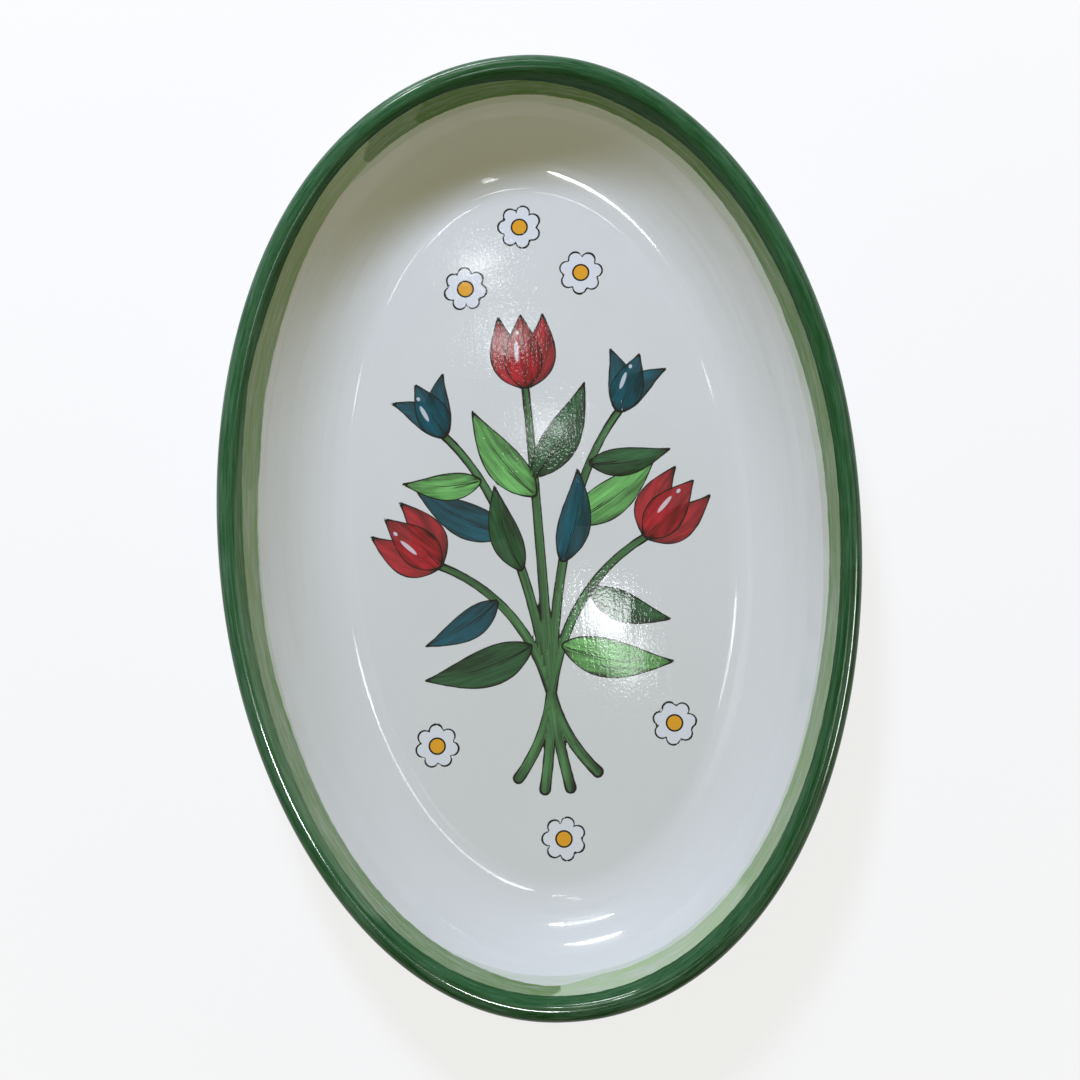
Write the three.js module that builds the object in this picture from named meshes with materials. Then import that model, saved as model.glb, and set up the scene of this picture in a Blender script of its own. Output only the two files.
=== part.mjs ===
// An oval serving tray of glazed earthenware, in millimetres.
// +Y runs along the tray, +X across it and +Z up. The tray stands on z = 0.

import * as THREE from 'three';

// Overall size, measured over the lip
const LENGTH = 360;
const WIDTH = 239;
const HEIGHT = 46;
const OVAL_FULLNESS = 2.06; // 2 gives an ellipse, and more gives squarer shoulders

// Side wall and lip
const WALL_THICKNESS = 8;
const WALL_SLOPE = THREE.MathUtils.degToRad(64); // of the straight stretch below the lip
const RIM_SKIRT = 6; // straight stretch of the rim piece below its rounded lip
const COVE_REACH = 22; // from where the sloping wall would meet the floor to the flat floor

// Floor slab and foot ring
const FLOOR_THICKNESS = 6;
const FOOT_HEIGHT = 4;
const FOOT_WIDTH = 7;
const FOOT_SETBACK = 3; // from the floor slab's edge in to the foot ring
const FOOT_BEVEL = 1;

// Clearance between two pieces that meet at a slanted or upright face
const JOINT_GAP = 0.3;

// Fineness of the faceted curves
const OVAL_SIDES = 80;
const CURVE_STEPS = 7;

// Sizes that follow from the ones above
const HALF_WIDTH = WIDTH / 2;
const END_STRETCH = (LENGTH - WIDTH) / 2;
const LIP_RADIUS = WALL_THICKNESS / 2;
const FLOOR_TOP = FOOT_HEIGHT + FLOOR_THICKNESS;

// Profiles lie in a plane with the distance from the long axis across and the height up.
const alongWall = new THREE.Vector2(Math.cos(WALL_SLOPE), Math.sin(WALL_SLOPE));
const acrossWall = new THREE.Vector2(Math.sin(WALL_SLOPE), -Math.cos(WALL_SLOPE));
const lipCentre = new THREE.Vector2(HALF_WIDTH - LIP_RADIUS, HEIGHT - LIP_RADIUS);

// A point of the rim or wall: up the slope and outwards across it from the middle of the lip.
function wallPoint(up, out) {
  return lipCentre.clone().addScaledVector(alongWall, up).addScaledVector(acrossWall, out);
}

// The point at a given height on the straight line that runs down the slope through another point.
function downSlope(from, height) {
  return new THREE.Vector2(from.x - (from.y - height) / Math.tan(WALL_SLOPE), height);
}

const rimInside = wallPoint(-RIM_SKIRT, -LIP_RADIUS);
const rimOutside = wallPoint(-RIM_SKIRT, LIP_RADIUS);
const wallInside = wallPoint(-RIM_SKIRT - JOINT_GAP, -LIP_RADIUS);
const wallOutside = wallPoint(-RIM_SKIRT - JOINT_GAP, LIP_RADIUS);
const innerCorner = downSlope(wallInside, FLOOR_TOP);
const outerCorner = downSlope(wallOutside, FOOT_HEIGHT);
const wallEdge = innerCorner.x - COVE_REACH;
const floorEdge = wallEdge - JOINT_GAP;
const footOutside = floorEdge - FOOT_SETBACK;
const footInside = footOutside - FOOT_WIDTH;

// Share of an oval's half length or half width, from the cosine or sine of the angle round it.
function ovalShare(turn) {
  return Math.sign(turn) * Math.abs(turn) ** (2 / OVAL_FULLNESS);
}

// Spins a closed profile into a round ring, then draws the ring out to the tray's oval.
function ovalRing(profile) {
  const ring = new THREE.LatheGeometry(profile.getPoints(CURVE_STEPS), OVAL_SIDES);
  ring.rotateX(Math.PI / 2);
  const place = ring.getAttribute('position');
  for (let i = 0; i < place.count; i += 1) {
    const radius = Math.hypot(place.getX(i), place.getY(i));
    const x = radius * ovalShare(place.getX(i) / radius);
    const y = (radius + END_STRETCH) * ovalShare(place.getY(i) / radius);
    place.setXY(i, x, y);
  }
  return ring;
}

// A flat oval slab whose edge stands upright.
function ovalSlab(halfWidth, thickness) {
  const outline = [];
  for (let side = 0; side < OVAL_SIDES; side += 1) {
    const angle = (side / OVAL_SIDES) * 2 * Math.PI;
    const x = halfWidth * ovalShare(Math.cos(angle));
    const y = (halfWidth + END_STRETCH) * ovalShare(Math.sin(angle));
    outline.push(new THREE.Vector2(x, y));
  }
  return new THREE.ExtrudeGeometry(new THREE.Shape(outline), { depth: thickness, bevelEnabled: false });
}

// The rim: a short straight skirt that carries on the wall, closed by a half-round lip.
function rimProfile() {
  const lipStart = Math.atan2(acrossWall.y, acrossWall.x);
  const profile = new THREE.Path();
  profile.moveTo(rimInside.x, rimInside.y);
  profile.lineTo(rimOutside.x, rimOutside.y);
  profile.absarc(lipCentre.x, lipCentre.y, LIP_RADIUS, lipStart, lipStart + Math.PI, false);
  profile.lineTo(rimInside.x, rimInside.y);
  return profile;
}

// The wall: from the floor's edge out along the underside, up the outside and down the cove inside.
function wallProfile() {
  const profile = new THREE.Path();
  profile.moveTo(wallEdge, FOOT_HEIGHT);
  profile.lineTo(outerCorner.x - COVE_REACH, FOOT_HEIGHT);
  profile.quadraticCurveTo(outerCorner.x, outerCorner.y, wallOutside.x, wallOutside.y);
  profile.lineTo(wallInside.x, wallInside.y);
  profile.quadraticCurveTo(innerCorner.x, innerCorner.y, wallEdge, FLOOR_TOP);
  profile.lineTo(wallEdge, FOOT_HEIGHT);
  return profile;
}

// The foot ring: square at the top, where it meets the slab, with bevelled edges at the bottom.
function footProfile() {
  const profile = new THREE.Path();
  profile.moveTo(footInside, FOOT_HEIGHT);
  profile.lineTo(footInside, FOOT_BEVEL);
  profile.lineTo(footInside + FOOT_BEVEL, 0);
  profile.lineTo(footOutside - FOOT_BEVEL, 0);
  profile.lineTo(footOutside, FOOT_BEVEL);
  profile.lineTo(footOutside, FOOT_HEIGHT);
  profile.lineTo(footInside, FOOT_HEIGHT);
  return profile;
}

const whiteGlaze = new THREE.MeshStandardMaterial({ color: 0xcfd3d2, roughness: 0.12, metalness: 0 });
const creamGlaze = new THREE.MeshStandardMaterial({ color: 0xc4c8bd, roughness: 0.12, metalness: 0 });
const greenGlaze = new THREE.MeshStandardMaterial({ color: 0x37583c, roughness: 0.12, metalness: 0 });
const bareClay = new THREE.MeshStandardMaterial({ color: 0xd3c3a9, roughness: 0.85, metalness: 0 });

const tray = new THREE.Group();

function addPiece(name, geometry, material, height = 0) {
  const piece = new THREE.Mesh(geometry, material);
  piece.name = name;
  piece.position.z = height;
  tray.add(piece);
}

addPiece('floor', ovalSlab(floorEdge, FLOOR_THICKNESS), whiteGlaze, FOOT_HEIGHT);
addPiece('wall', ovalRing(wallProfile()), creamGlaze);
addPiece('rim', ovalRing(rimProfile()), greenGlaze);
addPiece('foot_ring', ovalRing(footProfile()), bareClay);

export default tray;
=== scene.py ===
"""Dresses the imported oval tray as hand-painted glazed earthenware and sets it on a pale studio floor."""

import math

import bpy
import numpy as np
from mathutils import Matrix, Vector


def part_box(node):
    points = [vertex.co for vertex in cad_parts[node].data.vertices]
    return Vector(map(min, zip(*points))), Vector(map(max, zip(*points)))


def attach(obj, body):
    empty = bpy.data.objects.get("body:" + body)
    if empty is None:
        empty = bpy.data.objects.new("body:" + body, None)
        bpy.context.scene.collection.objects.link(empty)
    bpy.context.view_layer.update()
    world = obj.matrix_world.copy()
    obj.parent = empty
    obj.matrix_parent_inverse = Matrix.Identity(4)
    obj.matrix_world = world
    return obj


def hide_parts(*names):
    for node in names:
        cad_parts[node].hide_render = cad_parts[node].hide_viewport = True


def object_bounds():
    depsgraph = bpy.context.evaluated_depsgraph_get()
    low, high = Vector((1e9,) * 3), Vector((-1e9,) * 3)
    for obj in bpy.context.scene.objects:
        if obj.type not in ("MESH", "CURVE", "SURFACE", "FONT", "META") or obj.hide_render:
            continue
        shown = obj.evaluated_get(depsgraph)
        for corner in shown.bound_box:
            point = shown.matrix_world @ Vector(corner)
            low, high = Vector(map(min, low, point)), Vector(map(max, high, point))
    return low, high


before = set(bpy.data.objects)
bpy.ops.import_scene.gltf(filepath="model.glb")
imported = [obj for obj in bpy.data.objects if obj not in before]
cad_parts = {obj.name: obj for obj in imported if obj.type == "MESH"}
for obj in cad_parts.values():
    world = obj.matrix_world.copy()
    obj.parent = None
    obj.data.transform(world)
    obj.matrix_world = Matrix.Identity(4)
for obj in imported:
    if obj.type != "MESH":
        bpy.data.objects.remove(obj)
CAD_LOW, CAD_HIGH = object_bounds()

bl_info = {
    "name": "Oval serving tray",
    "version": (1, 0, 0),
    "blender": (4, 5, 0),
    "location": "3D View > Sidebar > Tray",
    "description": "Builds a glazed oval tray with brushed green bands and a painted bouquet",
    "category": "Object",
}

MM = 0.001
BAKE_MAP = "OFBake"

# The photograph's camera: its place and aim over the tray in millimetres, its roll and its lens
CAMERA_PLACE = (25.0, -30.0, 602.0)
CAMERA_AIM = (1.05, -3.82, 42.0)
CAMERA_ROLL = math.radians(3.94)
CAMERA_LENS = 50.41
CAMERA_SENSOR = 36.0

# Lamps: their places and sizes in millimetres, and the flashes' powers in watts. A lamp with a list of
# pieces glints on those alone.
SOFTBOX_PLACE = (-190, 1080, 1020)
SOFTBOX_SIZE = (300, 300)
FLASHES = (((21, -33, 700), (34, 40), 0.042), ((31, -66, 700), (30, 66), 0.032))
CEILING_SPOTS = ((-40, 218, 1500), (-93, 348, 1500), (-121, 456, 1500))
SPOT_SIZE = (56, 26)
TUBE_SIZE = (560, 100)
SIDE_TUBES = (
    ((-190, 1080, 1020), ("tray_rim", "tray_wall")),
    ((-330, 1400, 420), ("tray_rim", "tray_wall")),
    ((1050, -290, 950), ("tray_rim",)),
    ((-420, -230, 1500), ("tray_wall",)),
)
LIP_FLASH_PLACE = (-5, -62, 700)
LIP_FLASH_SIZE = (90, 36)
GLINT_COLOUR = (0.95, 1.0, 1.0)

# Studio floor: its half size in metres, the share of white that the camera sees in it beside the tray,
# and the distances in metres between which that share rises to 1
BACKDROP_HALF = 30.0
BACKDROP_WHITE = 0.78
BACKDROP_RISE = (0.18, 0.7)

# Fineness of the surfaces
COLUMNS = 900
UNDERSIDE_ROWS = 4
OUTSIDE_ROWS = 26
SKIRT_ROWS = 6
LIP_ROWS = 18
INSIDE_ROWS = 50
FLOOR_CELLS = (146, 266)
FOOT_EDGE_STEPS = 6

# Rooms in the floor's bake map for the upper face and for the rest: start and size along it and across it
UPPER_ROOM = ((0.01, 0.98), (0.01, 0.66))
LOWER_ROOM = ((0.01, 0.5), (0.7, 0.28))

# Slow waves of the hand-made oval at the lip: how many round it, height in millimetres and phase
OVAL_WAVES = ((1, 0.38, -0.37), (2, 0.20, -1.07), (3, 0.84, -1.16), (4, 0.10, -0.67), (6, 0.21, -0.13))

# Dips of the lip: how many round it, share of the sag and phase
SAG_WAVES = ((2, 0.5, 1.0), (7, 0.25, 0.0))

# Turning marks on the wall: share of their height, radians in a millimetre down the wall, how far they
# wander in radians, how often they do so round the oval, and phase. They begin and end at these depths.
WALL_MARKS = ((1.0, 0.62, 2, 3, 0), (0.7, 1.1, 3, 2, 1))
WALL_MARKS_BEGIN = (16.0, 24.0)
WALL_MARKS_END = (52.0, 58.0)

# Ripples on the floor: share of their height, radians from the middle to the edge, twist round the oval
# and phase. They grow to full height over a share of the way in from the edge.
FLOOR_RIPPLES = ((1.0, 38, 3, 0.0), (0.6, 61, 0, 1.3))
FLOOR_RIPPLE_FADE = 0.25

# Stations round the rim, in degrees clockwise from the far end, with a rounding in degrees between them.
# The edges are where the dark band, the sage band and the thin wash end, and where the dark band's second
# row of strokes begins, in millimetres down the inside from the crest of the lip. The gloss is that of a
# narrow stripe of glaze on the lip, from 0 to 1. The gloss line is the middle of that stripe, which fades
# between two distances from its middle.
STATION_ROUNDING = 6.0
DARK_EDGE = (
    (0, 7.1), (12, 9.0), (23, 9.9), (36, 8.4), (66, 5.9), (82, 4.6), (114, 6.0), (144, 7.3), (165, 7.8),
    (196, 7.6), (212, 6.0), (228, 5.9), (258, 7.2), (275, 8.1), (286, 7.1), (291, 5.6), (302, 7.1),
    (328, 5.6), (346, 5.6),
)
SKIRT_EDGE = (
    (0, 2.2), (40, 3.0), (80, 1.6), (120, 2.4), (160, 1.6), (200, 2.2), (262, 1.5), (290, 6.0),
    (296, 9.0), (326, 9.0), (332, 3.0),
)
SAGE_EDGE = (
    (0, 15.0), (22, 15.7), (40, 14.2), (66, 14.2), (84, 12.4), (98, 12.4), (112, 14.2), (150, 15.2),
    (176, 16.8), (181, 12.6), (198, 15.1), (222, 14.5), (244, 15.7), (257, 14.9), (276, 16.6),
    (282, 17.9), (287, 16.4), (300, 16.4), (324, 14.6), (348, 15.3),
)
WASH_EDGE = (
    (0, 18.1), (12, 20.3), (24, 20.7), (48, 19.4), (62, 18.5), (86, 16.4), (112, 15.9), (150, 17.2),
    (172, 19.0), (196, 17.3), (206, 15.2), (232, 15.2), (245, 17.2), (284, 17.2), (300, 16.5),
    (324, 14.7), (330, 18.3), (346, 18.9),
)
LIP_GLOSS = (
    (2, 0.0), (46, 0.0), (54, 0.15), (70, 0.15), (78, 0.05), (92, 0.15), (101, 1.0), (127, 1.0),
    (142, 0.1), (158, 0.2), (165, 1.0), (178, 1.0), (182, 1.0), (205, 1.0), (209, 0.05), (230, 0.05),
    (234, 1.0), (251, 1.0), (257, 0.3), (288, 0.0), (334, 0.0), (341, 1.0), (357, 1.0),
)
GLOSS_LINE = (
    (0, -1.3), (90, -1.5), (140, -1.5), (158, 2.6), (178, 2.6), (182, 0.9), (260, 0.9), (330, -1.3),
)
GLOSS_STRIPE = (0.5, 1.4)

# The dark paint's edge on the outside, where depths below the crest are negative, and the clear coat on
# bare glaze and on paint
OUTSIDE_EDGE = -10.0
GLAZE_COAT = 0.9
PAINT_COAT = 0.2

# Brush strokes of the green bands: where each begins and ends, in degrees clockwise from the far end,
# and how much paint the brush held. Each row of strokes lies between two depths in millimetres.
LIP_ROW = (-8.0, 4.0)
LIP_STROKES = (
    (-14, 62, 0.66), (58, 98, 0.75), (96, 150, 0.95), (146, 216, 1.0), (212, 300, 0.5), (296, 350, 0.48),
)
SKIRT_ROW = (1.0, 8.0)
SKIRT_STROKES = (
    (-20, 62, 0.8), (58, 98, 0.7), (96, 176, 0.6), (170, 214, 0.55), (206, 262, 0.1), (258, 316, 0.2),
    (311, 344, 0.75),
)
SAGE_ROW = (7.0, 17.0)
SAGE_STROKES = (
    (181, 238, 0.72), (235, 280, 0.6), (277, 322, 0.52), (316, 342, 0.4), (329, 404, 0.68),
    (341, 404, 0.92), (398, 460, 0.78), (457, 501, 0.56), (497, 543, 0.26),
)

# A stroke's shape, in degrees
STROKE_ROUNDING = 2.4  # how much later it begins at its two edges
STROKE_START = 0.5
STROKE_FADE = 6.0
STROKE_LEAD = 20.0  # angles up to this far before its beginning count as before it
STROKE_THINNING = 0.25  # share of its paint that it loses on its way

# The painted bouquet, in millimetres on the floor. Each stem: the bloom's foot, the bloom's heading in
# degrees clockwise from the far end, its kind, and leaves as share of the stem, heading, length, tint and
# layer. Each bloom: petals as layer, turn from the heading, length, half width and bend.
PAINT_LAYERS = ("stem", "leaf_back", "leaf", "petal_back", "petal", "daisy")
BOUQUET_WAIST = (0.0, -62.0)
STEMS = (
    ((-2, 58), 0, "tulip", ((0.54, -33, 42, "light", "leaf"), (0.6, 32, 42, "dark", "leaf"))),
    ((-35, 41), -26, "bell", ((0.36, -14, 35, "dark", "leaf"), (0.5, -60, 41, "teal", "leaf_back"),
                              (0.74, -88, 31, "light", "leaf"))),
    ((34, 46), 24, "bell", ((0.38, 13, 37, "teal", "leaf"), (0.5, 56, 42, "light", "leaf_back"),
                            (0.72, 84, 32, "dark", "leaf"))),
    ((-40, -10), -46, "tulip", ((0.26, -104, 44, "dark", "leaf_back"), (0.6, -118, 33, "teal", "leaf"))),
    ((41, -4), 44, "tulip", ((0.24, 102, 44, "light", "leaf_back"), (0.58, 114, 34, "dark", "leaf"))),
)
BLOOMS = {
    "tulip": (
        ("petal_back", -17, 30, 6.5, -2.6), ("petal_back", 17, 30, 6.5, 2.6), ("petal", 0, 29, 7.4, 0)),
    "bell": (
        ("petal_back", -28, 25, 5, 2.6), ("petal_back", 28, 25, 5, -2.6), ("petal", 0, 24, 6.2, 0)),
}
LEAF_SLENDERNESS = 0.17
LEAF_BEND = 0.06
BLADE_POWER = 0.72  # below 1 puts the widest place of a leaf or petal nearer to its foot
BLADE_STEEPEST = 3.0  # slope of the edge at which its effect on the distance stops growing

# Stems above the waist and cut ends below it: widths at the waist and at the end, steps, and the corner
# of the curve as shares of the way across and along. Cut ends lift by a share of their spread.
STEM_WIDTHS = (3.8, 2.6)
STEM_STEPS = 30
STEM_CORNER = (0.22, 0.72)
CUT_ENDS = (-15, -5, 5, 16)
CUT_END_WIDTHS = (3.6, 3.9)
CUT_END_STEPS = 16
CUT_END_CORNER = (0.2, 0.45)
CUT_END_DROP = 40.0
CUT_END_LIFT = 0.5

# Daisies: their places and radius, the petals and the share by which the outline is drawn in between
# them, the turn in radians from one daisy to the next, and the radius of the heart
DAISIES = ((-23, 99), (23, 102), (0, 122), (-46, -80), (47, -77), (1, -119))
DAISY_RADIUS = 8.5
DAISY_PETALS = 7
DAISY_NOTCH = 0.34
DAISY_TURN = 0.3
DAISY_HEART = 3.1

# Half width of the ink line, and a distance that is outside every painted shape
INK_HALF_WIDTH = 0.24
FAR_OFF = 99.0


def srgb(red, green, blue):
    """Scene-linear colour of an sRGB colour given in 0 to 255."""
    shares = np.array((red, green, blue)) / 255.0
    low = shares / 12.92
    high = ((shares + 0.055) / 1.055) ** 2.4
    return tuple(np.where(shares <= 0.04045, low, high))


def length_property(name, description, millimetres):
    return bpy.props.FloatProperty(
        name=name, description=description, default=millimetres * MM, min=0.0, unit="LENGTH", precision=5)


def colour_property(name, description, red, green, blue):
    return bpy.props.FloatVectorProperty(
        name=name, description=description, default=srgb(red, green, blue), subtype="COLOR",
        min=0.0, max=1.0)


def power_property(name, description, watts):
    return bpy.props.FloatProperty(
        name=name, description=description, default=watts, min=0.0, unit="POWER")


class TraySizes(bpy.types.PropertyGroup):
    """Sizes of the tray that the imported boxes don't give."""

    fullness: bpy.props.FloatProperty(
        name="Oval fullness", description="2 is an ellipse and more is squarer", default=2.06, min=2.0)
    wall_slope: bpy.props.FloatProperty(
        name="Wall slope", description="Slope of the wall below the lip", default=math.radians(64),
        unit="ROTATION")
    wall_thickness: length_property("Wall thickness", "Thickness of the wall and of the round lip", 8)
    rim_skirt: length_property("Rim skirt", "Straight stretch of the rim below its lip", 6)
    foot_width: length_property("Foot width", "Width of the foot ring", 7)
    foot_bevel: length_property("Foot bevel", "Rounding of the foot ring's edges", 1)
    sag: length_property("Sag", "How far the lip dips where the clay settled", 0.35)
    marks: length_property("Marks", "Height of the turning marks on the wall", 0.02)
    ripple: length_property("Ripple", "Height of the ripples that turning left on the floor", 0.006)


class TrayColours(bpy.types.PropertyGroup):
    """Colours of glaze, paint and clay."""

    glaze: colour_property("Glaze", "Cream-white glaze", 224, 225, 218)
    pinhole: colour_property("Pinhole", "Specks in the glaze", 92, 84, 66)
    dark_green: colour_property("Dark green", "Full paint of the rim band", 25, 68, 28)
    thin_green: colour_property("Thin green", "The same paint where the brush ran thin", 60, 110, 70)
    sage: colour_property("Sage", "Full paint of the inner band", 84, 120, 50)
    thin_sage: colour_property("Thin sage", "The same paint where it is only a wash", 138, 172, 94)
    clay: colour_property("Clay", "Bare fired clay of the foot ring", 205, 186, 156)
    ink: colour_property("Ink", "Outline of the painting", 18, 22, 20)
    leaf_dark: colour_property("Dark leaf", "Dark green leaves", 36, 78, 44)
    leaf_light: colour_property("Light leaf", "Light green leaves", 96, 158, 82)
    leaf_teal: colour_property("Teal leaf", "Teal leaves and bells", 4, 70, 80)
    petal_red: colour_property("Red petal", "Tulips", 148, 28, 38)
    petal_white: colour_property("White petal", "Daisies", 232, 235, 238)
    heart: colour_property("Daisy heart", "Middles of the daisies", 236, 168, 40)
    stem: colour_property("Stem", "Stems of the bouquet", 66, 112, 64)


class StudioSettings(bpy.types.PropertyGroup):
    """Light of the studio."""

    key_power: power_property("Key power", "Soft lamp beyond the far end", 22.0)
    flash_power: bpy.props.FloatProperty(
        name="Flash power", description="Small lamps beside the camera, as a share", default=1.0,
        subtype="FACTOR")
    spot_power: power_property("Spot power", "Each small ceiling lamp", 0.045)
    tube_power: power_property("Tube power", "Each long lamp that glints on the lip or the wall", 8.0)
    lip_power: power_property("Lip power", "Small lamp by the camera that glints on the lip", 1.0)
    ambient_strength: bpy.props.FloatProperty(
        name="Ambient strength", description="Strength of the even light", default=0.335)
    key_colour: colour_property("Key colour", "Cool light of the softbox", 208, 219, 255)
    ambient: colour_property("Ambient", "Even light from all round", 255, 249, 206)
    backdrop: colour_property("Backdrop", "Floor that the tray stands on", 244, 244, 244)


# Surfaces

def oval_share(turn, fullness):
    """Share of an oval's half size: the sine or cosine, raised to 2 / fullness with its sign kept."""
    return np.sign(turn) * np.abs(turn) ** (2.0 / fullness)


def smooth_step(value, low, high):
    """0 below low, 1 above high and smooth between."""
    share = np.clip((value - low) / (high - low), 0.0, 1.0)
    return share * share * (3 - 2 * share)


def bezier(first, corner, last, steps):
    """Points of a quadratic curve, its last point left out."""
    share = np.linspace(0.0, 1.0, steps, endpoint=False)[:, None]
    return (1 - share) ** 2 * first + 2 * share * (1 - share) * corner + share ** 2 * last


def straight(first, last, steps):
    """Points of a straight line, its last point left out."""
    share = np.linspace(0.0, 1.0, steps, endpoint=False)[:, None]
    return first + share * (last - first)


class Section:
    """The tray's section, as (distance from the long axis, height) in metres, with its rows by piece."""

    def __init__(self, sizes):
        self.fullness = sizes.fullness
        self.half_width = CAD_HIGH.x
        self.stretch = CAD_HIGH.y - CAD_HIGH.x
        self.height = CAD_HIGH.z
        floor_low, floor_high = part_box("floor")
        self.floor_edge = floor_high.x
        self.floor_top = floor_high.z
        self.floor_bottom = floor_low.z
        self.sag = sizes.sag
        self.marks = sizes.marks

        # Corners of the section
        along = np.array((math.cos(sizes.wall_slope), math.sin(sizes.wall_slope)))
        across = np.array((along[1], -along[0]))
        radius = sizes.wall_thickness / 2
        centre = np.array((self.half_width - radius, self.height - radius))
        lip_outside = centre + radius * across
        lip_inside = centre - radius * across
        rim_outside = lip_outside - sizes.rim_skirt * along
        rim_inside = lip_inside - sizes.rim_skirt * along
        inner_corner = self.down_slope(rim_inside, along, self.floor_top)
        outer_corner = self.down_slope(rim_outside, along, self.floor_bottom)
        floor_line = np.array((self.floor_edge, self.floor_top))
        under_line = np.array((self.floor_edge, self.floor_bottom))
        heel = outer_corner - np.array((inner_corner[0] - self.floor_edge, 0.0))

        # Rows from the floor's edge along the underside, up the outside, over the lip and down the inside
        turn = np.linspace(0.0, math.pi, LIP_ROWS, endpoint=False)[:, None]
        lip = centre + radius * (np.cos(turn) * across + np.sin(turn) * along)
        parts = (
            straight(under_line, heel, UNDERSIDE_ROWS),
            bezier(heel, outer_corner, rim_outside, OUTSIDE_ROWS),
            straight(rim_outside, lip_outside, SKIRT_ROWS),
            lip,
            straight(lip_inside, rim_inside, SKIRT_ROWS),
            bezier(rim_inside, inner_corner, floor_line, INSIDE_ROWS),
            floor_line[None],
        )
        self.points = np.concatenate(parts)
        starts = np.cumsum([0] + [len(part) for part in parts])
        outside_rows, inside_rows = np.arange(starts[2] + 1), np.arange(starts[5], len(self.points))
        self.rows = {
            "rim": np.arange(starts[2], starts[5] + 1),
            "wall": np.concatenate([outside_rows, inside_rows]),
        }

        # Depth of each row in millimetres along the skin from the crest, negative on the outside
        run = np.concatenate([[0.0], np.cumsum(np.linalg.norm(np.diff(self.points, axis=0), axis=1))])
        crest = np.argmax(self.points[:, 1])
        self.depth = (run - run[crest]) / MM

    @staticmethod
    def down_slope(point, along, height):
        """Where the straight line down the wall's slope reaches a height."""
        return np.array((point[0] - (point[1] - height) * along[0] / along[1], height))

    def angles(self):
        return np.linspace(0.0, 2 * math.pi, COLUMNS, endpoint=False)

    def skin(self):
        """The whole skin as a grid: each row of the section is carried round the oval.

        x = r * share(sin a) and y = (r + stretch) * share(cos a), with a clockwise from the far end.
        r is the section's distance plus the waves of the hand-made oval and the turning marks. The waves
        and the sag of the height z, each a sum of sines of a, are full at the lip and nil at the floor.
        """
        angle = self.angles()
        lift = np.clip((self.points[:, 1] - self.floor_top) / (self.height - self.floor_top), 0.0, 1.0)
        waves = sum(height * MM * np.sin(count * angle + phase) for count, height, phase in OVAL_WAVES)
        dips = sum(share * (np.sin(count * angle + phase) - 1) for count, share, phase in SAG_WAVES)
        depth = self.depth[:, None]
        marks = sum(share * np.sin(pitch * depth + wander * np.sin(count * angle + phase))
                    for share, pitch, wander, count, phase in WALL_MARKS)
        shown = smooth_step(depth, *WALL_MARKS_BEGIN) * (1 - smooth_step(depth, *WALL_MARKS_END))
        radius = self.points[:, :1] + lift[:, None] * waves + self.marks * marks * shown
        x = radius * oval_share(np.sin(angle), self.fullness)
        y = (radius + self.stretch) * oval_share(np.cos(angle), self.fullness)
        z = self.points[:, 1:] + lift[:, None] * self.sag * dips
        return np.stack(np.broadcast_arrays(x, y, z), axis=-1)

    @staticmethod
    def skin_normals(skin):
        """Unit normals of the skin: along the section crossed with round the oval."""
        down = np.gradient(skin, axis=0)
        around = np.roll(skin, -1, axis=1) - np.roll(skin, 1, axis=1)
        normal = np.cross(down, around)
        return normal / np.linalg.norm(normal, axis=-1, keepdims=True)


def new_mesh(name, places, faces, map_places, normals):
    """A smooth mesh from whole arrays: corners of every face are listed one after another."""
    mesh = bpy.data.meshes.new(name)
    corners = np.concatenate(faces)
    totals = np.array([len(face) for face in faces])
    mesh.vertices.add(len(places))
    mesh.vertices.foreach_set("co", places.astype(np.float32).ravel())
    mesh.loops.add(len(corners))
    mesh.loops.foreach_set("vertex_index", corners.astype(np.int32))
    mesh.polygons.add(len(totals))
    mesh.polygons.foreach_set("loop_start", (np.cumsum(totals) - totals).astype(np.int32))
    mesh.polygons.foreach_set("use_smooth", np.ones(len(totals), bool))
    mesh.uv_layers.new(name=BAKE_MAP).data.foreach_set("uv", map_places.astype(np.float32).ravel())
    mesh.update(calc_edges=True)
    mesh.validate()
    mesh.normals_split_custom_set_from_vertices(normals.tolist())
    return mesh


def ring_mesh(name, grid, normals):
    """A closed ring: the grid's rows and columns both close on themselves."""
    rows, columns = grid.shape[:2]
    index = np.arange(rows * columns).reshape(rows, columns)
    above = np.roll(index, -1, axis=0)
    quads = np.stack([index, above, np.roll(above, -1, axis=1), np.roll(index, -1, axis=1)], axis=-1)
    row, column = np.meshgrid(np.arange(rows), np.arange(columns), indexing="ij")
    u = np.stack([column, column, column + 1, column + 1], axis=-1) / columns
    v = np.stack([row, row + 1, row + 1, row], axis=-1) / rows
    map_places = np.stack([u, v], axis=-1)
    return new_mesh(name, grid.reshape(-1, 3), quads.reshape(-1, 4), map_places, normals.reshape(-1, 3))


def add_values(mesh, name, kind, values):
    """Stores one value per point of a mesh for its material to read."""
    field = {"FLOAT": "value", "FLOAT_VECTOR": "vector", "FLOAT_COLOR": "color"}[kind]
    attribute = mesh.attributes.new(name, kind, "POINT")
    attribute.data.foreach_set(field, np.asarray(values, np.float32).ravel())


def add_piece(name, mesh, material, node):
    """Puts a finished mesh in the scene in place of a node of the frame."""
    piece = bpy.data.objects.new(name, mesh)
    bpy.context.scene.collection.objects.link(piece)
    mesh.materials.append(material)
    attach(piece, "root")
    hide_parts(node)


# Brushwork of the green bands

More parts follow.
